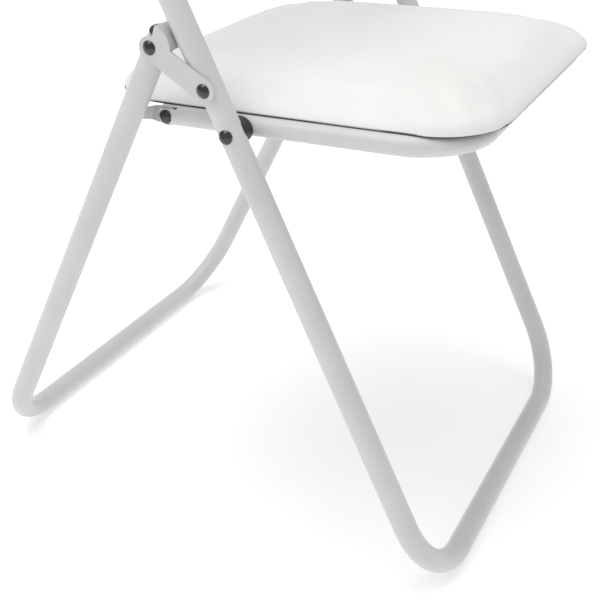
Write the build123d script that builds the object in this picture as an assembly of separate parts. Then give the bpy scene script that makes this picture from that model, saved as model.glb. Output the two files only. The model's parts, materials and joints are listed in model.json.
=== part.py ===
from build123d import *
import os
from math import cos, hypot, radians, sin, tan

# Folding chair of bent steel tube with a padded seat and back, open and standing on the floor.
# Millimetres. +Z is up, the sitter faces -Y and the sitter's right side is -X.
# The origin is on the floor, midway between the two floor bars.

# main tubes
tube_r = 11.0
tube_wall = 1.2
side_x = 212.0
foot_bend_r = 70.0
floor_z = tube_r

# main frame: front feet up to the back
front_lean = 29.0
back_bend_z = 600.0
back_bend_r = 220.0
back_lean = 16.0
top_z = 786.0
top_bend_r = 72.0

# rear leg frame
foot_spread = 500.0
rear_lean = 23.5
leg_top = 10.0

# pivots, as seen from the side
seat_pivot_z = 415.09
link_front_z = 451.88
link_rear_z = 479.37
leg_pivot_y = 50.36
leg_pivot_z = 409.81
pin_r = 3.0
pin_play = 0.05
hole_slack = 0.02

# rivet heads
head_r = 6.3
head_h = 3.3
tail_r = 5.0
tail_h = 2.4

# seat frame
rail_r = 9.0
rail_wall = 1.2
rail_x = 187.4
rail_front_bend_r = 57.0
rail_front = 272.0
rail_rear = 6.5
seat_tilt = 4.66

# seat board and cushion, measured in the seat's own plane from the leg pivot
board_t = 4.0
board_gap = 0.2
hem_t = 1.0
board_inset = 8.0
cushion_t = 29.5
cushion_gap = 0.3
cushion_half = 190.0
cushion_front = 292.0
cushion_rear = 88.0
cushion_front_corner = 62.0
cushion_rear_corner = 80.0
cushion_edge_r = 22.0
tab_t = 2.0

# brackets from the rear legs to the seat rails
bracket_t = 2.0
bracket_x = 191.7
bracket_r = 8.4
bracket_bend = 13.2
bracket_reach = 21.0
bracket_rise = 2.2
bracket_tail_r = 6.2
slot_w = 2.8
slot_front = 10.0

# link between the two frames
link_w = 20.0
link_t = 2.0
link_gap = 0.3
hood_r = 20.4
hood_t = 1.8
hood_from = 30.0
hood_to = 102.0

# back panel
back_tube_r = 8.0
back_tube_z = 655.0
back_tube_ahead = 3.0
back_board_t = 6.0
back_pad_t = 26.0
back_half = 190.0
back_below = 20.0
back_above = 132.0
screw_r = 2.0
screw_head_r = 4.5


def front_axis(z):
    """Where the main tube's axis is at height z, below its upper bend."""
    return -foot_spread / 2 + (z - floor_z) * tan(radians(front_lean))


def rear_axis(z):
    """Where the rear leg's axis is at height z."""
    return foot_spread / 2 - (z - floor_z) * tan(radians(rear_lean))


front_y = front_axis(floor_z)
rear_y = rear_axis(floor_z)
seat_pivot = (front_axis(seat_pivot_z), seat_pivot_z)
link_front = (front_axis(link_front_z), link_front_z)
link_rear = (rear_axis(link_rear_z), link_rear_z)
leg_pivot = (leg_pivot_y, leg_pivot_z)
back_bend_y = front_axis(back_bend_z)
back_tube_y = back_bend_y + (back_tube_z - back_bend_z) * tan(radians(back_lean))
top_y = back_bend_y + (top_z - back_bend_z) * tan(radians(back_lean))
flange_x = side_x + tube_r + link_gap
ear_x = side_x - tube_r - link_gap

# the seat's plane: X across, Y to the rear along the rails, Z out of the seat, from the leg pivots
seat_plane = Plane(
    origin=(0, *leg_pivot), x_dir=(1, 0, 0), z_dir=(0, sin(radians(seat_tilt)), cos(radians(seat_tilt)))
)
# the back's plane: X across, Y to the rear, Z up along the leaning tubes, from the cross tube's height
back_plane = Plane(
    origin=(0, back_tube_y, back_tube_z),
    x_dir=(1, 0, 0),
    z_dir=(0, sin(radians(back_lean)), cos(radians(back_lean))),
)
cushion_low = rail_r + board_gap
board_low = cushion_low + hem_t


def both_sides(shape):
    """The right-hand piece and its mirror image, as separate solids."""
    return Compound(children=[*shape.solids(), *mirror(shape, about=Plane.YZ).solids()])


def along_x(y, z, from_x, to_x, radius):
    """A round bar across the chair on its right-hand side, between two distances from the middle."""
    length = abs(to_x - from_x)
    middle = -(from_x + to_x) / 2
    return Pos(middle, y, z) * Rot(0, 90, 0) * Cylinder(radius, length)


def outward(x, y, z):
    """A place on the right-hand side whose local Z points out of the chair and local X to the rear."""
    return Location(Plane(origin=(-x, y, z), x_dir=(0, 1, 0), z_dir=(-1, 0, 0)))


def cap(radius, height):
    """A low dome standing on Z = 0."""
    ball_r = (radius**2 + height**2) / (2 * height)
    ball = Pos(0, 0, height - ball_r) * Sphere(ball_r)
    return ball & Pos(0, 0, height / 2) * Cylinder(radius * 1.1, height)


def bent_tube(points, radii, outer, wall):
    """A round tube whose axis follows the points, with a bend at each inner one."""
    path = FilletPolyline(*points, radius=radii)
    ring = Plane(origin=path @ 0, z_dir=path % 0) * (Circle(outer) - Circle(outer - wall))
    return sweep(ring, path=path)


def leaning_rod(bottom_y, lean, radius, x=-side_x):
    """An endless straight rod on a leaning tube's axis, used to cut saddles."""
    axis = Plane(origin=(x, bottom_y, floor_z), z_dir=(0, sin(radians(lean)), cos(radians(lean))))
    return axis * Pos(0, 0, 400) * Cylinder(radius, 1000)


def leg_place(point, x):
    """A place whose local X points forwards, square to the rear leg, and local Y up along the leg."""
    lean = radians(rear_lean)
    return Location(Plane(origin=(x, *point), x_dir=(0, -cos(lean), -sin(lean)), z_dir=(-1, 0, 0)))


def pin_hole(point, radius):
    """A cutter right through one side of the chair at a pivot."""
    return along_x(*point, side_x - 45, side_x + 30, radius)


def screw_places():
    """Where the back's four screws go in the back's plane: two in the cross tube and two in the top bar."""
    top_up = (top_z - back_tube_z) / cos(radians(back_lean))
    for x in (-110, 110):
        yield x, -back_tube_ahead, 0, back_tube_r
        yield x, 0, top_up, tube_r


def back_screw_hole(x, y, z, radius):
    """A cutter through the back's tubes and board at one screw."""
    return back_plane * Pos(x, y - 10, z) * Rot(90, 0, 0) * Cylinder(radius, 60)


def main_frame_tube():
    """One tube: along the floor, up both sides, bent more upright behind the sitter and across the top."""
    half = bent_tube(
        [
            (0, front_y, floor_z),
            (-side_x, front_y, floor_z),
            (-side_x, back_bend_y, back_bend_z),
            (-side_x, top_y, top_z),
            (0, top_y, top_z),
        ],
        [foot_bend_r, back_bend_r, top_bend_r],
        tube_r,
        tube_wall,
    )
    half -= pin_hole(seat_pivot, pin_r + hole_slack)
    for x, y, z, radius in screw_places():
        if radius == tube_r and x < 0:
            half -= back_screw_hole(x, y, z, screw_r + hole_slack)
    return half + mirror(half, about=Plane.YZ)


def back_cross_tube():
    """The thinner tube welded across under the back panel."""
    ends = side_x * 2
    tube = Rot(0, 90, 0) * (Cylinder(back_tube_r, ends) - Cylinder(back_tube_r - tube_wall, ends))
    tube = back_plane * Pos(0, -back_tube_ahead, 0) * tube
    for x in (-side_x, side_x):
        tube -= back_plane * Pos(x, 0, 0) * Cylinder(tube_r, 80)
    for x, y, z, radius in screw_places():
        if radius == back_tube_r:
            tube -= back_screw_hole(x, y, z, screw_r + hole_slack)
    return max(tube.solids(), key=lambda piece: piece.volume)


def back_panel(low, high, half, front, rear, corner):
    """A rounded rectangle in the back's own plane, between two depths."""
    outline = RectangleRounded(2 * half, high - low, corner)
    return extrude(Pos(0, rear, (low + high) / 2) * Rot(90, 0, 0) * outline, amount=rear - front)


def back_board():
    """The board inside the back panel, screwed to the cross tube and the top bar."""
    rear = -tube_r - board_gap
    board = back_panel(8 - back_below, back_above + 10, back_half - 8, rear - back_board_t, rear, 32)
    board = fillet(board.faces().sort_by(Axis.Y)[-1].edges(), 2)
    board = back_plane * board
    for x, y, z, radius in screw_places():
        board -= back_screw_hole(x, y, z, screw_r + hole_slack)
    return board


def back_pad():
    """The padded back in front of its board."""
    rear = -tube_r - board_gap - back_board_t - cushion_gap
    pad = back_panel(-back_below, back_above + 18, back_half, rear - back_pad_t, rear, 40)
    pad = fillet(pad.faces().sort_by(Axis.Y)[0].edges(), 9)
    pad = fillet(pad.faces().sort_by(Axis.Y)[-1].edges(), 7)
    return back_plane * pad


def back_screws():
    """Four screws, each with a domed head behind its tube and its point in the board."""
    screws = []
    for x, y, z, radius in screw_places():
        saddle = Pos(0, 0, -radius) * Rot(0, 90, 0) * Cylinder(radius, 40)
        head = Pos(0, 0, -0.9) * Cylinder(screw_head_r, 1.8) + cap(screw_head_r, 2.6) - saddle
        length = radius + y + tube_r + board_gap + back_board_t - 1
        shank = Pos(0, 0, 0.5 - length / 2) * Cylinder(screw_r, length + 1)
        screws += (back_plane * Pos(x, y + radius, z) * Rot(-90, 0, 0) * (head + shank)).solids()
    return Compound(children=screws)


def rear_leg_tube():
    """One tube: down the right leg, along the floor behind and up the left leg."""
    lean = radians(rear_lean)
    top = (link_rear[0] - leg_top * sin(lean), link_rear[1] + leg_top * cos(lean))
    half = bent_tube(
        [(-side_x, *top), (-side_x, rear_y, floor_z), (0, rear_y, floor_z)],
        [foot_bend_r],
        tube_r,
        tube_wall,
    )
    half -= pin_hole(link_rear, pin_r + hole_slack)
    return half + mirror(half, about=Plane.YZ)


def leg_bracket():
    """The right rear leg's bracket: a tongue in the slotted rail end, bent outwards behind it to the leg."""
    lean = radians(rear_lean)
    behind = (rear_axis(leg_pivot_z) - leg_pivot_y) * cos(lean)
    bend = (-bracket_bend, 0)
    weld = (4 - behind, side_x - tube_r + 2 - bracket_x)
    strip = extrude(trace(Polyline((bracket_r, 0), bend, weld), bracket_t), amount=3 * bracket_r)
    strip = leg_place(leg_pivot, -bracket_x) * Pos(0, 1.5 * bracket_r, 0) * Rot(90, 0, 0) * strip
    tail = Pos(bracket_reach, bracket_rise) * Circle(bracket_tail_r)
    outline = make_hull(Circle(bracket_r).edges() + tail.edges())
    side_view = Plane(origin=(-side_x, *leg_pivot), x_dir=seat_plane.y_dir, z_dir=(1, 0, 0))
    bracket = strip & side_view * extrude(outline, amount=2 * tube_r + rail_r)
    bracket -= pin_hole(leg_pivot, pin_r + pin_play)
    bracket -= leaning_rod(rear_y, -rear_lean, tube_r)
    return max(bracket.solids(), key=lambda piece: piece.volume)


def leg_end_plug():
    """The domed plastic plug in the top end of the right rear leg."""
    dome_base = leg_top + 1.5
    dome = Pos(0, 0, dome_base) * cap(tube_r, 6.6)
    rim = Pos(0, 0, (leg_top + dome_base) / 2) * Cylinder(tube_r, dome_base - leg_top)
    stem_low = pin_r + 1.5
    stem = Pos(0, 0, (stem_low + leg_top) / 2) * Cylinder(tube_r - tube_wall - hole_slack, leg_top - stem_low)
    lean = radians(-rear_lean)
    up = Plane(origin=(-side_x, *link_rear), x_dir=(1, 0, 0), z_dir=(0, sin(lean), cos(lean)))
    return up * (dome + rim + stem)


def leg_top_rivet():
    """The right rivet through the link and the top of the rear leg."""
    outer = flange_x + link_t + pin_play
    inner = ear_x - link_t - pin_play
    shank = along_x(*link_rear, inner, outer, pin_r)
    head = outward(outer, *link_rear) * cap(head_r, head_h)
    tail = along_x(*link_rear, inner - tail_h, inner, tail_r)
    return head + shank + tail


def seat_pivot_rivet():
    """The right rivet through the main tube, the spacer and the seat rail."""
    sunk = 1.8
    inner = rail_x - rail_r - board_gap
    shank = along_x(*seat_pivot, inner, side_x + tube_r, pin_r)
    head = outward(side_x + tube_r - sunk, *seat_pivot) * (
        Pos(0, 0, sunk / 2) * Cylinder(head_r, sunk) + Pos(0, 0, sunk) * cap(head_r, head_h)
    )
    head -= leaning_rod(front_y, front_lean, tube_r)
    tail = along_x(*seat_pivot, inner - tail_h, inner, tail_r)
    return head + shank + tail


def seat_pivot_spacer():
    """The right plastic spacer: hollowed to sit on the main tube and flat against the rail."""
    flat = rail_x + rail_r + board_gap
    disc = along_x(*seat_pivot, flat, side_x - 3, 11.7)
    disc -= leaning_rod(front_y, front_lean, tube_r)
    disc -= pin_hole(seat_pivot, pin_r + hole_slack)
    return max(disc.solids(), key=lambda piece: piece.bounding_box().max.X)


def rail_rod(x=-rail_x):
    """An endless rod on a seat rail's axis, used to cut saddles."""
    return seat_plane * Pos(x, -150, 0) * Rot(90, 0, 0) * Cylinder(rail_r, 600)


def seat_rail_tube():
    """One tube round the front and both sides of the seat, its rear ends slotted for the brackets."""
    half = bent_tube(
        [(-rail_x, rail_rear, 0), (-rail_x, -rail_front, 0), (0, -rail_front, 0)],
        [rail_front_bend_r],
        rail_r,
        rail_wall,
    )
    slot_l = slot_front + rail_rear
    half -= Pos(-bracket_x, rail_rear - slot_l / 2, 0) * Box(slot_w, slot_l + 0.02, 3 * rail_r)
    half = seat_plane * half
    half -= pin_hole(seat_pivot, pin_r + pin_play)
    half -= pin_hole(leg_pivot, pin_r + hole_slack)
    return half + mirror(half, about=Plane.YZ)


def leg_pivot_rivet():
    """The right rivet through the rear end of the seat rail and the bracket's tongue."""
    sunk = 1.6
    shank = along_x(*leg_pivot, rail_x - rail_r, rail_x + rail_r, pin_r)
    head = outward(rail_x + rail_r - sunk, *leg_pivot) * (
        Pos(0, 0, sunk / 2) * Cylinder(head_r, sunk) + Pos(0, 0, sunk) * cap(head_r, head_h - 0.3)
    )
    tail = along_x(*leg_pivot, rail_x - rail_r - tail_h, rail_x - rail_r + sunk, tail_r)
    return (head + tail - rail_rod()) + shank


def seat_crossbar():
    """The flat bar welded between the rails near their rear ends."""
    bar = seat_plane * Pos(0, -38, -3) * Box(2 * rail_x, 22, 3)
    bar -= rail_rod()
    bar -= rail_rod(rail_x)
    return max(bar.solids(), key=lambda piece: piece.volume)


def tab_places():
    """Where the seat board's four screws go in the seat's plane."""
    for x in (-rail_x + 26, rail_x - 26):
        for y in (-75, -180):
            yield x, y


def seat_tabs():
    """Four small tabs welded to the rails' inner sides, which the seat board is screwed to."""
    tabs = []
    for x, y in tab_places():
        side = 1 if x > 0 else -1
        plate = Pos(x + side * 4, y, board_low - tab_t / 2) * Box(32, 24, tab_t)
        tab = seat_plane * (plate - Pos(x, y, board_low) * Cylinder(screw_r + hole_slack, 10))
        tab -= rail_rod(side * rail_x)
        tabs.append(max(tab.solids(), key=lambda piece: piece.volume))
    return Compound(children=tabs)


def seat_screws():
    """Four screws up through the tabs into the seat board."""
    screws = []
    length = tab_t + board_t - 0.6
    for x, y in tab_places():
        head = Pos(0, 0, board_low - tab_t) * Rot(180, 0, 0) * cap(screw_head_r, 2.4)
        shank = Pos(0, 0, board_low - tab_t + length / 2) * Cylinder(screw_r, length)
        screws += (seat_plane * Pos(x, y, 0) * (head + shank)).solids()
    return Compound(children=screws)


def seat_outline(inset):
    """The seat's outline, drawn in by inset: its rear corners are rounder than its front ones."""
    half = cushion_half - inset
    front = inset - cushion_front
    rear = cushion_rear - inset
    front_r = cushion_front_corner - inset
    rear_r = cushion_rear_corner - inset
    corners = [(-half, rear), (-half, front), (half, front), (half, rear)]
    return make_face(FilletPolyline(*corners, radius=[rear_r, front_r, front_r, rear_r], close=True))


def seat_board():
    """The board inside the cushion's cover, resting on the rails."""
    board = Pos(0, 0, board_low) * extrude(seat_outline(board_inset), amount=board_t)
    for x, y in tab_places():
        board -= Pos(x, y, board_low) * Cylinder(screw_r + hole_slack, 2 * board_t - 1)
    return seat_plane * board


def seat_cushion():
    """The padded seat, its lower edge wrapped down round the board to the rails."""
    pad = extrude(seat_outline(0), amount=cushion_t)
    pad = fillet(pad.faces().sort_by(Axis.Z)[-1].edges(), cushion_edge_r)
    pad = fillet(pad.faces().sort_by(Axis.Z)[0].edges(), 1.5)
    pocket = extrude(seat_outline(board_inset - cushion_gap), amount=hem_t + board_t + cushion_gap)
    return seat_plane * Pos(0, 0, cushion_low) * (pad - pocket)


def link_place(x):
    """A place on the right link: local X runs from the leg's pivot to the main tube's, local Z outwards."""
    along = (link_front[0] - link_rear[0], link_front[1] - link_rear[1])
    return Location(Plane(origin=(-x, *link_rear), x_dir=(0, *along), z_dir=(-1, 0, 0)))


def hood_slice(inner):
    """The link's rounded hood above the leg's top end, seen from the side."""
    reach = 2 * hood_r
    middle = (hood_from + hood_to) / 2
    corners = [(0, 0)]
    for angle in (hood_from, middle, hood_to):
        corners.append((reach * cos(radians(angle)), reach * sin(radians(angle))))
    ring = Circle(hood_r) - Circle(inner) if inner else Circle(hood_r)
    return ring & make_face(Polyline(*corners, close=True))


def right_link():
    """The pressed steel link: an arm outside both tubes, a hood over the leg's end and an inner ear."""
    length = hypot(link_front[0] - link_rear[0], link_front[1] - link_rear[1])
    arm = Pos(length / 2, 0) * SlotCenterToCenter(length, link_w) + hood_slice(0)
    arm -= Circle(pin_r + pin_play)
    arm -= Pos(length, 0) * Circle(pin_r + hole_slack)
    ear = Circle(link_w / 2) + hood_slice(0) - Circle(pin_r + pin_play)
    depth = flange_x + link_t - (ear_x - link_t)
    link = link_place(flange_x) * extrude(arm, amount=link_t)
    link += link_place(ear_x - link_t) * extrude(hood_slice(hood_r - hood_t), amount=depth)
    link += link_place(ear_x - link_t) * extrude(ear, amount=link_t)
    return link


def right_link_rivet():
    """The rivet head at the link's front end, its shank ending at the arm's inner face."""
    head = outward(flange_x + link_t, *link_front) * cap(head_r, head_h)
    return head + along_x(*link_front, flange_x, flange_x + link_t, pin_r)


def mirrored(shape):
    """The left-hand copy of a right-hand piece."""
    return mirror(shape, about=Plane.YZ)


link = right_link()
link_rivet = right_link_rivet()
bracket = leg_bracket()

parts = {
    "main_frame_tube": main_frame_tube(),
    "back_cross_tube": back_cross_tube(),
    "back_board": back_board(),
    "back_pad": back_pad(),
    "back_screws": back_screws(),
    "seat_pivot_rivets": both_sides(seat_pivot_rivet()),
    "seat_pivot_spacers": both_sides(seat_pivot_spacer()),
    "seat_rail_tube": seat_rail_tube(),
    "seat_crossbar": seat_crossbar(),
    "seat_tabs": seat_tabs(),
    "seat_board": seat_board(),
    "seat_cushion": seat_cushion(),
    "seat_screws": seat_screws(),
    "leg_pivot_rivets": both_sides(leg_pivot_rivet()),
    "rear_leg_tube": rear_leg_tube(),
    "right_leg_bracket": bracket,
    "left_leg_bracket": mirrored(bracket),
    "leg_end_plugs": both_sides(leg_end_plug()),
    "leg_top_rivets": both_sides(leg_top_rivet()),
    "right_link": link,
    "left_link": mirrored(link),
    "right_link_rivet": link_rivet,
    "left_link_rivet": mirrored(link_rivet),
}

os.makedirs("parts", exist_ok=True)
for name, shape in parts.items():
    export_step(shape, f"parts/{name}.step")
    print(name, round(shape.volume), "mm3")
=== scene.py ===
import json
from math import cos, radians, sin
import bmesh
import bpy
from mathutils import Matrix, Vector


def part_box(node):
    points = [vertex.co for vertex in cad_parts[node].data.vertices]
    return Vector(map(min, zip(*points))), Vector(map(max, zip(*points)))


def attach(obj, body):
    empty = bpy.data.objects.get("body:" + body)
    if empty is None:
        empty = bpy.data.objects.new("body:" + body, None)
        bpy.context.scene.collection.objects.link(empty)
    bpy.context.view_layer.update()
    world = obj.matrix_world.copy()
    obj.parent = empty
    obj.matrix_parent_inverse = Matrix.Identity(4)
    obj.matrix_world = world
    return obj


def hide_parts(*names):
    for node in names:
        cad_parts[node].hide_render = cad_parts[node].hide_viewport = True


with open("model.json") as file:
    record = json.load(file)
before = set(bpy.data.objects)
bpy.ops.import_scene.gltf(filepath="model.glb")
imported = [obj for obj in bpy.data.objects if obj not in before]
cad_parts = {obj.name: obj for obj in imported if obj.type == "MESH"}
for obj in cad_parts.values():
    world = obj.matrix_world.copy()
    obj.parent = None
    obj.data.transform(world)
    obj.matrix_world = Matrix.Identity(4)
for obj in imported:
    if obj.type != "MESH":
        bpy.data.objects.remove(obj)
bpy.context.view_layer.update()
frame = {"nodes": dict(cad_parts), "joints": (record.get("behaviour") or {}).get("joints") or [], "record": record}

nodes = frame["nodes"]
joints = {joint["name"]: joint for joint in frame["joints"]}
print("frame loaded:", len(nodes), "nodes")


# small helpers for objects and node trees
def newObject(name, bm):
    mesh = bpy.data.meshes.new(name)
    bm.to_mesh(mesh)
    bm.free()
    piece = bpy.data.objects.new(name, mesh)
    bpy.context.scene.collection.objects.link(piece)
    return piece


def applyModifiers(piece):
    graph = bpy.context.evaluated_depsgraph_get()
    baked = bpy.data.meshes.new_from_object(piece.evaluated_get(graph))
    piece.modifiers.clear()
    old = piece.data
    piece.data = baked
    bpy.data.meshes.remove(old)
    baked.name = piece.name


def newMaterial(name):
    material = bpy.data.materials.new(name)
    material.use_nodes = True
    tree = material.node_tree
    shader = tree.nodes["Principled BSDF"]
    return material, tree, shader


def noiseNode(tree, coords, scale, detail=3.0, rough=0.5):
    node = tree.nodes.new("ShaderNodeTexNoise")
    node.inputs["Scale"].default_value = scale
    node.inputs["Detail"].default_value = detail
    node.inputs["Roughness"].default_value = rough
    tree.links.new(coords, node.inputs["Vector"])
    return node.outputs["Fac"]


def rangeNode(tree, value, fromLow, fromHigh, toLow, toHigh):
    node = tree.nodes.new("ShaderNodeMapRange")
    for key, number in (("From Min", fromLow), ("From Max", fromHigh), ("To Min", toLow), ("To Max", toHigh)):
        node.inputs[key].default_value = number
    tree.links.new(value, node.inputs["Value"])
    return node.outputs["Result"]


def mathNode(tree, operation, first, second):
    node = tree.nodes.new("ShaderNodeMath")
    node.operation = operation
    tree.links.new(first, node.inputs[0])
    if isinstance(second, (int, float)):
        node.inputs[1].default_value = second
    else:
        tree.links.new(second, node.inputs[1])
    return node.outputs["Value"]


def mixNode(tree, share, first, second):
    node = tree.nodes.new("ShaderNodeMix")
    node.data_type = "RGBA"
    tree.links.new(share, node.inputs["Factor"])
    for socket, colour in ((node.inputs[6], first), (node.inputs[7], second)):
        if isinstance(colour, tuple):
            socket.default_value = (*colour, 1.0)
        else:
            tree.links.new(colour, socket)
    return node.outputs[2]


def bumpNode(tree, height, strength, distance, before=None):
    node = tree.nodes.new("ShaderNodeBump")
    node.inputs["Strength"].default_value = strength
    node.inputs["Distance"].default_value = distance
    tree.links.new(height, node.inputs["Height"])
    if before is not None:
        tree.links.new(before, node.inputs["Normal"])
    return node.outputs["Normal"]


def objectCoords(tree):
    return tree.nodes.new("ShaderNodeTexCoord").outputs["Object"]


def powderCoat(name, colour, gloss=0.36):
    # light grey powder coat: fine orange peel, faint uneven tone, scuffs where the bars meet the floor
    coat = {
        "peelScale": 620.0, "peelDepth": 0.00006, "peelStrength": 0.35, "toneScale": 14.0, "deeper": 0.93,
        "scuffScale": 160.0, "scuffTop": 0.0035, "scuffColour": (0.30, 0.29, 0.28), "scuffRough": 0.3,
        "roughScale": 90.0, "clearCoat": 0.15, "clearCoatRough": 0.25,
    }
    material, tree, shader = newMaterial(name)
    coords = objectCoords(tree)
    tone = noiseNode(tree, coords, coat["toneScale"], 4.0)
    deeper = tuple(channel * coat["deeper"] for channel in colour)
    body = mixNode(tree, rangeNode(tree, tone, 0.3, 0.7, 0.0, 1.0), deeper, colour)
    split = tree.nodes.new("ShaderNodeSeparateXYZ")
    tree.links.new(coords, split.inputs["Vector"])
    low = rangeNode(tree, split.outputs["Z"], 0.0, coat["scuffTop"], 1.0, 0.0)
    patchy = rangeNode(tree, noiseNode(tree, coords, coat["scuffScale"], 5.0, 0.65), 0.45, 0.62, 0.0, 1.0)
    scuff = mathNode(tree, "MULTIPLY", low, patchy)
    tree.links.new(mixNode(tree, scuff, body, coat["scuffColour"]), shader.inputs["Base Color"])
    uneven = noiseNode(tree, coords, coat["roughScale"], 3.0)
    rough = rangeNode(tree, uneven, 0.3, 0.7, gloss - 0.03, gloss + 0.05)
    dulled = mathNode(tree, "MULTIPLY", scuff, coat["scuffRough"])
    tree.links.new(mathNode(tree, "ADD", rough, dulled), shader.inputs["Roughness"])
    peel = noiseNode(tree, coords, coat["peelScale"], 1.5, 0.4)
    tree.links.new(bumpNode(tree, peel, coat["peelStrength"], coat["peelDepth"]), shader.inputs["Normal"])
    shader.inputs["Coat Weight"].default_value = coat["clearCoat"]
    shader.inputs["Coat Roughness"].default_value = coat["clearCoatRough"]
    return material


def coatedFabric(name, colour):
    # off-white vinyl: small pebbled grain with creases between the pebbles, and painted shade darkening the
    # creases
    vinyl = {
        "pebble": 780.0, "crease": 240.0, "warp": 0.0012, "depth": 0.00011, "tone": 9.0,
        "shade": (0.955, 0.95, 0.945), "creasePaintedShade": 0.96, "roughLow": 0.44, "roughHigh": 0.58,
        "waveScale": 70.0, "waveStrength": 0.25, "waveDepth": 0.0006, "sheen": 0.05,
    }
    material, tree, shader = newMaterial(name)
    coords = objectCoords(tree)
    warp = tree.nodes.new("ShaderNodeTexNoise")
    warp.inputs["Scale"].default_value = vinyl["crease"]
    tree.links.new(coords, warp.inputs["Vector"])
    shift = tree.nodes.new("ShaderNodeVectorMath")
    shift.operation = "MULTIPLY_ADD"
    shift.inputs[1].default_value = (vinyl["warp"],) * 3
    tree.links.new(warp.outputs["Color"], shift.inputs[0])
    tree.links.new(coords, shift.inputs[2])
    cells = tree.nodes.new("ShaderNodeTexVoronoi")
    cells.feature = "SMOOTH_F1"
    cells.inputs["Scale"].default_value = vinyl["pebble"]
    tree.links.new(shift.outputs["Vector"], cells.inputs["Vector"])
    pebbles = rangeNode(tree, cells.outputs["Distance"], 0.1, 0.75, 1.0, 0.0)
    waves = noiseNode(tree, coords, vinyl["waveScale"], 4.0, 0.55)
    tone = noiseNode(tree, coords, vinyl["tone"], 3.0)
    shade = tuple(channel * share for channel, share in zip(colour, vinyl["shade"]))
    body = mixNode(tree, rangeNode(tree, tone, 0.35, 0.7, 0.0, 1.0), shade, colour)
    # painted shade: the creases between the pebbles are darkened a little, standing in for shade in the grain's
    # hollows
    crease = tuple(channel * vinyl["creasePaintedShade"] for channel in colour)
    paintedShadeInHollows = rangeNode(tree, pebbles, 0.0, 0.35, 1.0, 0.0)
    tree.links.new(mixNode(tree, paintedShadeInHollows, body, crease), shader.inputs["Base Color"])
    rough = rangeNode(tree, pebbles, 0.0, 1.0, vinyl["roughHigh"], vinyl["roughLow"])
    tree.links.new(rough, shader.inputs["Roughness"])
    soft = bumpNode(tree, waves, vinyl["waveStrength"], vinyl["waveDepth"])
    tree.links.new(bumpNode(tree, pebbles, 0.5, vinyl["depth"], soft), shader.inputs["Normal"])
    shader.inputs["Sheen Weight"].default_value = vinyl["sheen"]
    return material


def mouldedPlastic(name):
    # black plastic of the plugs and spacers: fine grain, blotches where it is worn paler and duller
    plastic = {
        "colour": (0.012, 0.012, 0.013), "worn": (0.028, 0.028, 0.030), "blotchScale": 160.0,
        "rough": 0.42, "wornRough": 0.56, "grain": 1500.0, "grainDepth": 0.00008,
    }
    material, tree, shader = newMaterial(name)
    coords = objectCoords(tree)
    blotch = rangeNode(tree, noiseNode(tree, coords, plastic["blotchScale"], 4.0), 0.4, 0.75, 0.0, 1.0)
    tree.links.new(mixNode(tree, blotch, plastic["colour"], plastic["worn"]), shader.inputs["Base Color"])
    rough = rangeNode(tree, blotch, 0.0, 1.0, plastic["rough"], plastic["wornRough"])
    tree.links.new(rough, shader.inputs["Roughness"])
    grain = noiseNode(tree, coords, plastic["grain"], 2.0)
    tree.links.new(bumpNode(tree, grain, 0.4, plastic["grainDepth"]), shader.inputs["Normal"])
    return material


def darkPlating(name):
    # dark bright plating of the rivets and screws, smudged in places
    plating = {
        "colour": (0.060, 0.060, 0.064), "smudge": (0.035, 0.034, 0.035), "smudgeScale": 380.0,
        "rough": 0.10, "smudgeRough": 0.20, "scratchScale": 900.0, "scratchDepth": 0.00003,
        "clearCoat": 0.6, "clearCoatRough": 0.06,
    }
    material, tree, shader = newMaterial(name)
    coords = objectCoords(tree)
    smudge = rangeNode(tree, noiseNode(tree, coords, plating["smudgeScale"], 5.0, 0.6), 0.4, 0.7, 0.0, 1.0)
    tree.links.new(mixNode(tree, smudge, plating["colour"], plating["smudge"]), shader.inputs["Base Color"])
    rough = rangeNode(tree, smudge, 0.0, 1.0, plating["rough"], plating["smudgeRough"])
    tree.links.new(rough, shader.inputs["Roughness"])
    scratches = noiseNode(tree, coords, plating["scratchScale"], 3.0)
    tree.links.new(bumpNode(tree, scratches, 0.2, plating["scratchDepth"]), shader.inputs["Normal"])
    shader.inputs["Metallic"].default_value = 1.0
    shader.inputs["Coat Weight"].default_value = plating["clearCoat"]
    shader.inputs["Coat Roughness"].default_value = plating["clearCoatRough"]
    return material


def pressedBoard(name):
    # brown pressed board under the seat: fine fibres, cloudy in places
    board = {
        "dark": (0.10, 0.066, 0.042), "light": (0.19, 0.13, 0.085), "fibre": 420.0, "fibreDepth": 0.0002,
        "cloud": 30.0, "roughLow": 0.62, "roughHigh": 0.8,
    }
    material, tree, shader = newMaterial(name)
    coords = objectCoords(tree)
    fibre = noiseNode(tree, coords, board["fibre"], 8.0, 0.7)
    cloud = noiseNode(tree, coords, board["cloud"], 3.0)
    fibreShare = rangeNode(tree, fibre, 0.35, 0.65, 0.0, 1.0)
    cloudShare = rangeNode(tree, cloud, 0.2, 0.8, 0.5, 1.0)
    both = mathNode(tree, "MULTIPLY", fibreShare, cloudShare)
    tree.links.new(mixNode(tree, both, board["dark"], board["light"]), shader.inputs["Base Color"])
    rough = rangeNode(tree, fibre, 0.3, 0.7, board["roughLow"], board["roughHigh"])
    tree.links.new(rough, shader.inputs["Roughness"])
    tree.links.new(bumpNode(tree, fibre, 0.35, board["fibreDepth"]), shader.inputs["Normal"])
    return material


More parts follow.
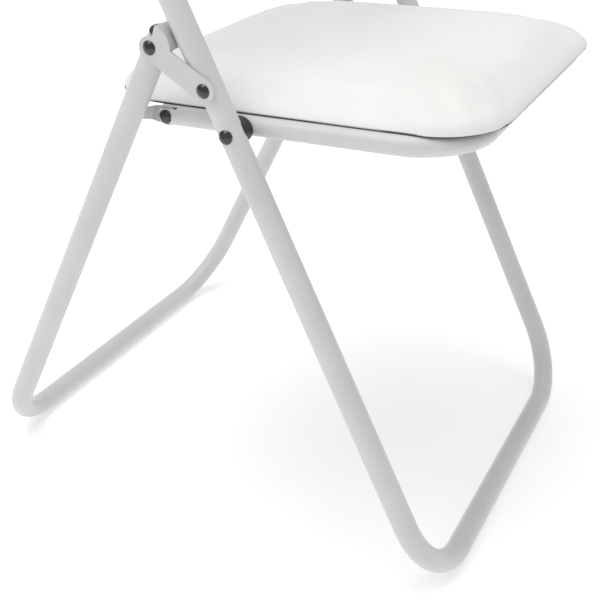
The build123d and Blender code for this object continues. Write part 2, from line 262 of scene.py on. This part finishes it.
def shadowStripCloth(name):
    # painted shadow: a dark cloth-like material for the strip that stands in for the shadow line between the
    # cushion and the rails
    cloth = {
        "dark": (0.050, 0.042, 0.052), "light": (0.105, 0.092, 0.108), "weave": 1900.0, "weaveDepth": 0.0001,
        "roughLow": 0.82, "roughHigh": 0.95,
    }
    material, tree, shader = newMaterial(name)
    coords = objectCoords(tree)
    weave = noiseNode(tree, coords, cloth["weave"], 3.0, 0.7)
    threads = rangeNode(tree, weave, 0.35, 0.65, 0.0, 1.0)
    tree.links.new(mixNode(tree, threads, cloth["dark"], cloth["light"]), shader.inputs["Base Color"])
    rough = rangeNode(tree, weave, 0.3, 0.7, cloth["roughLow"], cloth["roughHigh"])
    tree.links.new(rough, shader.inputs["Roughness"])
    tree.links.new(bumpNode(tree, weave, 0.5, cloth["weaveDepth"]), shader.inputs["Normal"])
    return material


def laminatedBoard(name, colour):
    # off-white laminate with a faint mottled print
    laminate = {
        "print": 55.0, "duller": 0.975, "roughLow": 0.42, "roughHigh": 0.5,
        "speck": 700.0, "speckDepth": 0.00005,
    }
    material, tree, shader = newMaterial(name)
    coords = objectCoords(tree)
    mottle = rangeNode(tree, noiseNode(tree, coords, laminate["print"], 5.0), 0.35, 0.7, 0.0, 1.0)
    duller = tuple(channel * laminate["duller"] for channel in colour)
    tree.links.new(mixNode(tree, mottle, duller, colour), shader.inputs["Base Color"])
    rough = rangeNode(tree, mottle, 0.0, 1.0, laminate["roughLow"], laminate["roughHigh"])
    tree.links.new(rough, shader.inputs["Roughness"])
    speck = noiseNode(tree, coords, laminate["speck"], 2.0)
    tree.links.new(bumpNode(tree, speck, 0.25, laminate["speckDepth"]), shader.inputs["Normal"])
    return material


framePaint = powderCoat("framePaint", (0.645, 0.647, 0.652))
linkPaint = powderCoat("linkPaint", (0.63, 0.632, 0.636), 0.42)
# painted shade: the bracket gets a darker copy of the frame's powder coat, standing in for the shade it sits in
# behind the rail
shadedBracketPaint = powderCoat("shadedBracketPaint", (0.50, 0.498, 0.49), 0.45)
vinylCover = coatedFabric("vinylCover", (0.845, 0.838, 0.824))
# painted shadow: dark material for the strip under the cushion's edge
paintedShadowStrip = shadowStripCloth("paintedShadowStrip")
backLaminate = laminatedBoard("backLaminate", (0.80, 0.79, 0.77))
blackPlastic = mouldedPlastic("blackPlastic")
rivetPlating = darkPlating("rivetPlating")
boardFibre = pressedBoard("boardFibre")

slotMaterials = {
    "tube_paint": framePaint,
    "link_paint": linkPaint,
    "bracket_paint": shadedBracketPaint,
    "cover": vinylCover,
    "panel_board": boardFibre,
    "panel_laminate": backLaminate,
    "black_plastic": blackPlastic,
    "rivet_metal": rivetPlating,
}
for part in frame["record"]["subparts"]:
    finish = slotMaterials[part["material_slot"]]
    for materialSlot in nodes[part["node"]].material_slots:
        materialSlot.material = finish
print("materials assigned")


# padded seat and back, each shaped flat in its own axes and then put in its place
# on the back pad, front is its lower edge and rear its upper edge
padding = {
    "cornerSteps": 14, "sameEdge": 1e-5, "skirt": 0.012, "voxel": 0.0045, "heldMargin": 0.0002,
    "frames": 20, "quality": 6, "mass": 0.3, "stiffness": 30.0, "bending": 6.0, "pressure": 4.0, "cap": 0.008,
    "relax": 10, "relaxShare": 0.5,
}


def seatSpace():
    # across, rearwards along the rails and up out of the seat, from the leg pivots
    pivot = Vector(joints["leg_swing"]["pos_m"])
    return Matrix.Translation(pivot) @ Matrix.Rotation(radians(-seatPad["tilt"]), 4, "X")


def backSpace():
    # across, up along the leaning tubes and forwards out of the back, from the cross tube's middle
    low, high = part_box("back_cross_tube")
    turn = Matrix.Rotation(radians(90.0 - backPadding["lean"]), 4, "X")
    return Matrix.Translation((low + high) / 2) @ turn


def localBox(node, space):
    toLocal = space.inverted()
    points = [toLocal @ vertex.co for vertex in nodes[node].data.vertices]
    low = Vector([min(point[axis] for point in points) for axis in range(3)])
    high = Vector([max(point[axis] for point in points) for axis in range(3)])
    return low, high


def roundedPlate(low, high, frontCorner, rearCorner):
    # one flat face at the lower height, its two front and two rear corners rounded
    bm = bmesh.new()
    bmesh.ops.create_grid(bm, x_segments=1, y_segments=1, size=0.5)
    bmesh.ops.scale(bm, verts=bm.verts, vec=(high.x - low.x, high.y - low.y, 1.0))
    middle = Vector(((low.x + high.x) / 2, (low.y + high.y) / 2, low.z))
    bmesh.ops.translate(bm, verts=bm.verts, vec=middle)
    for edgeY, radius in ((low.y, frontCorner), (high.y, rearCorner)):
        corners = [vert for vert in bm.verts if abs(vert.co.y - edgeY) < padding["sameEdge"]]
        bmesh.ops.bevel(
            bm, geom=corners, offset=radius, offset_type="OFFSET", affect="VERTICES",
            segments=padding["cornerSteps"], profile=0.5, material=-1,
        )
    return bm


def raiseFace(bm, face, height, size=1.0):
    # pull a face up out of the block, and draw it in towards its middle
    raised = bmesh.ops.extrude_face_region(bm, geom=[face])["geom"]
    upper = next(item for item in raised if isinstance(item, bmesh.types.BMFace))
    bmesh.ops.translate(bm, verts=upper.verts, vec=(0, 0, height))
    centre = upper.calc_center_median()
    shrink = Matrix.Diagonal((size, size, 1.0, 1.0))
    bmesh.ops.transform(bm, matrix=shrink, space=Matrix.Translation(-centre), verts=upper.verts)
    return upper


def makeBlank(name, low, high, pad):
    # the pad before it is blown up: a skirt and a low wall, a rolled edge in insets, then a shallow crown
    inset = Vector((pad["sidePull"], pad["sidePull"], 0.0))
    skirt = Vector((0.0, 0.0, padding["skirt"]))
    bm = roundedPlate(low + inset - skirt, high - inset, pad["frontCorner"], pad["rearCorner"])
    bmesh.ops.recalc_face_normals(bm, faces=bm.faces)
    face = raiseFace(bm, bm.faces[:][0], padding["skirt"] + pad["wall"])
    bmesh.ops.recalc_face_normals(bm, faces=bm.faces)
    for inwards, rise in pad["roll"]:
        bmesh.ops.inset_region(bm, faces=[face], thickness=inwards, depth=rise, use_even_offset=True)
    for size, rise in pad["crown"]:
        face = raiseFace(bm, face, rise, size)
    bmesh.ops.recalc_face_normals(bm, faces=bm.faces)
    return newObject(name, bm)


def puffUp(piece, lowerEdge):
    # remesh, then blow the cover up as cloth, held below its lower edge, with its travel capped
    remesh = piece.modifiers.new("remesh", "REMESH")
    remesh.mode = "VOXEL"
    remesh.voxel_size = padding["voxel"]
    remesh.use_smooth_shade = True
    applyModifiers(piece)
    resting = [vertex.co.copy() for vertex in piece.data.vertices]
    held = piece.vertex_groups.new(name="held")
    heldBelow = lowerEdge + padding["heldMargin"]
    held.add([vertex.index for vertex in piece.data.vertices if vertex.co.z < heldBelow], 1.0, "REPLACE")
    cloth = piece.modifiers.new("cloth", "CLOTH")
    cloth.settings.quality = padding["quality"]
    cloth.settings.mass = padding["mass"]
    cloth.settings.tension_stiffness = padding["stiffness"]
    cloth.settings.compression_stiffness = padding["stiffness"]
    cloth.settings.bending_stiffness = padding["bending"]
    cloth.settings.use_pressure = True
    cloth.settings.uniform_pressure_force = padding["pressure"]
    cloth.settings.effector_weights.gravity = 0.0
    cloth.settings.vertex_group_mass = "held"
    cloth.collision_settings.use_collision = False
    cloth.point_cache.frame_start = 1
    cloth.point_cache.frame_end = padding["frames"]
    scene = bpy.context.scene
    scene.frame_start = 1
    scene.frame_end = padding["frames"]
    for frameNumber in range(1, padding["frames"] + 1):
        scene.frame_set(frameNumber)
    applyModifiers(piece)
    scene.frame_set(1)
    for vertex, rest in zip(piece.data.vertices, resting):
        travel = vertex.co - rest
        if travel.length > padding["cap"]:
            vertex.co = rest + travel * (padding["cap"] / travel.length)


def settle(piece):
    # relax the remesher's steps, then one subdivision
    bm = bmesh.new()
    bm.from_mesh(piece.data)
    for _ in range(padding["relax"]):
        bmesh.ops.smooth_vert(
            bm, verts=bm.verts, factor=padding["relaxShare"],
            use_axis_x=True, use_axis_y=True, use_axis_z=True,
        )
    bm.to_mesh(piece.data)
    bm.free()
    finer = piece.modifiers.new("finer", "SUBSURF")
    finer.levels = finer.render_levels = 1
    applyModifiers(piece)


def trimSkirt(piece, height):
    # cut the pad off level at its real lower edge and close it
    bm = bmesh.new()
    bm.from_mesh(piece.data)
    everything = bm.verts[:] + bm.edges[:] + bm.faces[:]
    cut = bmesh.ops.bisect_plane(
        bm, geom=everything, dist=1e-6, plane_co=(0, 0, height), plane_no=(0, 0, 1), clear_inner=True
    )
    rim = [item for item in cut["geom_cut"] if isinstance(item, bmesh.types.BMEdge)]
    bmesh.ops.edgeloop_fill(bm, edges=rim)
    bmesh.ops.recalc_face_normals(bm, faces=bm.faces)
    bm.to_mesh(piece.data)
    bm.free()


def carve(piece, tool):
    # cut a closed tool out of a piece and remove the tool
    cut = piece.modifiers.new("cut", "BOOLEAN")
    cut.operation = "DIFFERENCE"
    cut.solver = "EXACT"
    cut.object = tool
    applyModifiers(piece)
    bpy.data.objects.remove(tool)


def finishCover(piece, space, body, node):
    piece.data.transform(space)
    for face in piece.data.polygons:
        face.use_smooth = True
        face.material_index = 0
    piece.vertex_groups.clear()
    piece.data.materials.clear()
    piece.data.materials.append(vinylCover)
    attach(piece, body)
    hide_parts(node)


# roll is each step inwards and up round the edge, crown each share of the size and step up
seatPad = {
    "tilt": 4.66, "frontCorner": 0.062, "rearCorner": 0.080, "sidePull": -0.0010,
    "hemLift": 0.0010, "wall": 0.0062,
    "roll": (
        (0.0010, 0.0024), (0.0022, 0.0024), (0.0040, 0.0020),
        (0.0065, 0.0017), (0.0090, 0.0013), (0.0100, 0.0009),
    ),
    "crown": ((0.86, 0.0022), (0.82, 0.0018), (0.72, 0.0012)),
    "boardInset": 0.0077, "boardClear": 0.0002, "hollowBelow": 0.01, "fill": 0.8,
}


def makeSeatCushion():
    space = seatSpace()
    low, high = localBox("seat_cushion", space)
    lifted = low + Vector((0.0, 0.0, seatPad["hemLift"]))
    piece = makeBlank("seatCushionCover", lifted, high, seatPad)
    puffUp(piece, lifted.z)
    settle(piece)
    trimSkirt(piece, lifted.z)
    # the hollow underneath that the board sits in
    inset = Vector((seatPad["boardInset"], seatPad["boardInset"], 0.0))
    below = Vector((0.0, 0.0, seatPad["hollowBelow"]))
    boardTop = localBox("seat_board", space)[1].z + seatPad["boardClear"]
    bm = roundedPlate(
        low + inset - below, high - inset,
        seatPad["frontCorner"] - inset.x, seatPad["rearCorner"] - inset.x,
    )
    raiseFace(bm, bm.faces[:][0], boardTop - low.z + seatPad["hollowBelow"])
    bmesh.ops.recalc_face_normals(bm, faces=bm.faces)
    carve(piece, newObject("boardHollow", bm))
    finishCover(piece, space, "seat", "seat_cushion")


# sizes of the dark strip that stands in for the shadow under the cushion's edge
shadowStripBand = {"inset": 0.0024, "width": 0.0046, "height": 0.0013, "drop": 0.0001}


def makeSeatShadowStrip():
    # painted shadow: a thin dark strip between the cushion and the rails, standing in for the shadow in the
    # crevice there
    space = seatSpace()
    low, high = localBox("seat_cushion", space)
    inset = Vector((shadowStripBand["inset"], shadowStripBand["inset"], 0.0))
    drop = Vector((0.0, 0.0, shadowStripBand["drop"]))
    bm = roundedPlate(
        low + inset - drop, high - inset, seatPad["frontCorner"] - inset.x, seatPad["rearCorner"] - inset.x
    )
    middle = bm.faces[:][0]
    bmesh.ops.inset_region(
        bm, faces=[middle], thickness=shadowStripBand["width"], use_even_offset=True, use_boundary=True
    )
    bmesh.ops.delete(bm, geom=[middle], context="FACES_ONLY")
    raised = bmesh.ops.extrude_face_region(bm, geom=bm.faces[:])["geom"]
    upper = [item for item in raised if isinstance(item, bmesh.types.BMVert)]
    bmesh.ops.translate(bm, verts=upper, vec=(0, 0, shadowStripBand["height"]))
    bmesh.ops.recalc_face_normals(bm, faces=bm.faces)
    bmesh.ops.transform(bm, matrix=space, verts=bm.verts)
    band = newObject("seatShadowStrip", bm)
    band.data.materials.append(paintedShadowStrip)
    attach(band, "seat")


makeSeatCushion()
makeSeatShadowStrip()
print("seat cushion made")

backPadding = {
    "lean": 16.0, "frontCorner": 0.040, "rearCorner": 0.040, "sidePull": 0.0012, "wall": 0.0075,
    "roll": ((0.0012, 0.0026), (0.0024, 0.0025), (0.0040, 0.0023), (0.0060, 0.0019), (0.0085, 0.0015)),
    "crown": ((0.86, 0.0016), (0.80, 0.0012)), "fill": 0.75,
}


def makeBackPad():
    space = backSpace()
    low, high = localBox("back_pad", space)
    piece = makeBlank("backPadCover", low, high, backPadding)
    puffUp(piece, low.z)
    settle(piece)
    trimSkirt(piece, low.z)
    finishCover(piece, space, "main_frame", "back_pad")


makeBackPad()
print("back pad made")


studio = {
    "floorSize": 12.0, "floorTone": (0.93, 0.93, 0.93), "floorDuller": 0.99, "floorRough": 0.9,
    "floorGlow": 0.3, "sky": (1.0, 1.0, 1.0), "skyStrength": 0.64, "aim": (0.0, 0.0, 0.4),
    "keyPanel": {"place": (-1.1, 0.8, 2.7), "size": (1.6, 1.6), "watts": 19.0},
    "topPanel": {"place": (0.3, 0.3, 2.8), "size": (2.0, 2.0), "watts": 20.0},
}


def makeFloor():
    bm = bmesh.new()
    bmesh.ops.create_grid(bm, x_segments=1, y_segments=1, size=studio["floorSize"])
    floor = newObject("studioFloor", bm)
    material, tree, shader = newMaterial("floorPaper")
    coords = objectCoords(tree)
    paper = rangeNode(tree, noiseNode(tree, coords, 3.0, 2.0), 0.3, 0.7, 0.0, 1.0)
    duller = tuple(channel * studio["floorDuller"] for channel in studio["floorTone"])
    tree.links.new(mixNode(tree, paper, duller, studio["floorTone"]), shader.inputs["Base Color"])
    shader.inputs["Roughness"].default_value = studio["floorRough"]
    shader.inputs["Emission Color"].default_value = (1.0, 1.0, 1.0, 1.0)
    shader.inputs["Emission Strength"].default_value = studio["floorGlow"]
    floor.data.materials.append(material)


def makeLight(name):
    panel = studio[name]
    lamp = bpy.data.lights.new(name, "AREA")
    lamp.shape = "RECTANGLE"
    lamp.size, lamp.size_y = panel["size"]
    lamp.energy = panel["watts"]
    holder = bpy.data.objects.new(name, lamp)
    bpy.context.scene.collection.objects.link(holder)
    holder.location = panel["place"]
    facing = Vector(studio["aim"]) - Vector(panel["place"])
    holder.rotation_euler = facing.to_track_quat("-Z", "Y").to_euler()


def makeStudio():
    makeFloor()
    world = bpy.data.worlds.new("studioWorld")
    world.use_nodes = True
    sky = world.node_tree.nodes["Background"]
    sky.inputs["Color"].default_value = (*studio["sky"], 1.0)
    sky.inputs["Strength"].default_value = studio["skyStrength"]
    bpy.context.scene.world = world
    bpy.context.scene.view_settings.view_transform = "Standard"
    makeLight("keyPanel")
    makeLight("topPanel")


view = {
    "eye": (-0.94396, -0.44425, 0.73477), "azimuth": -64.48, "elevation": 26.92, "roll": 2.96,
    "lens": 64.19, "sensor": 36.0, "shift": -0.08,
}


def makeCamera():
    azimuth, elevation, roll = (radians(view[key]) for key in ("azimuth", "elevation", "roll"))
    back = Vector((sin(azimuth) * cos(elevation), -cos(azimuth) * cos(elevation), sin(elevation)))
    right = (-back).cross(Vector((0, 0, 1))).normalized()
    up = right.cross(-back)
    across = right * cos(roll) + up * sin(roll)
    upward = up * cos(roll) - right * sin(roll)
    lens = bpy.data.cameras.new("studioCamera")
    lens.lens = view["lens"]
    lens.sensor_width = view["sensor"]
    lens.shift_y = view["shift"]
    camera = bpy.data.objects.new("studioCamera", lens)
    bpy.context.scene.collection.objects.link(camera)
    turn = Matrix((across, upward, back)).transposed()
    camera.matrix_world = Matrix.Translation(view["eye"]) @ turn.to_4x4()
    bpy.context.scene.camera = camera


makeStudio()
makeCamera()
print("studio ready")
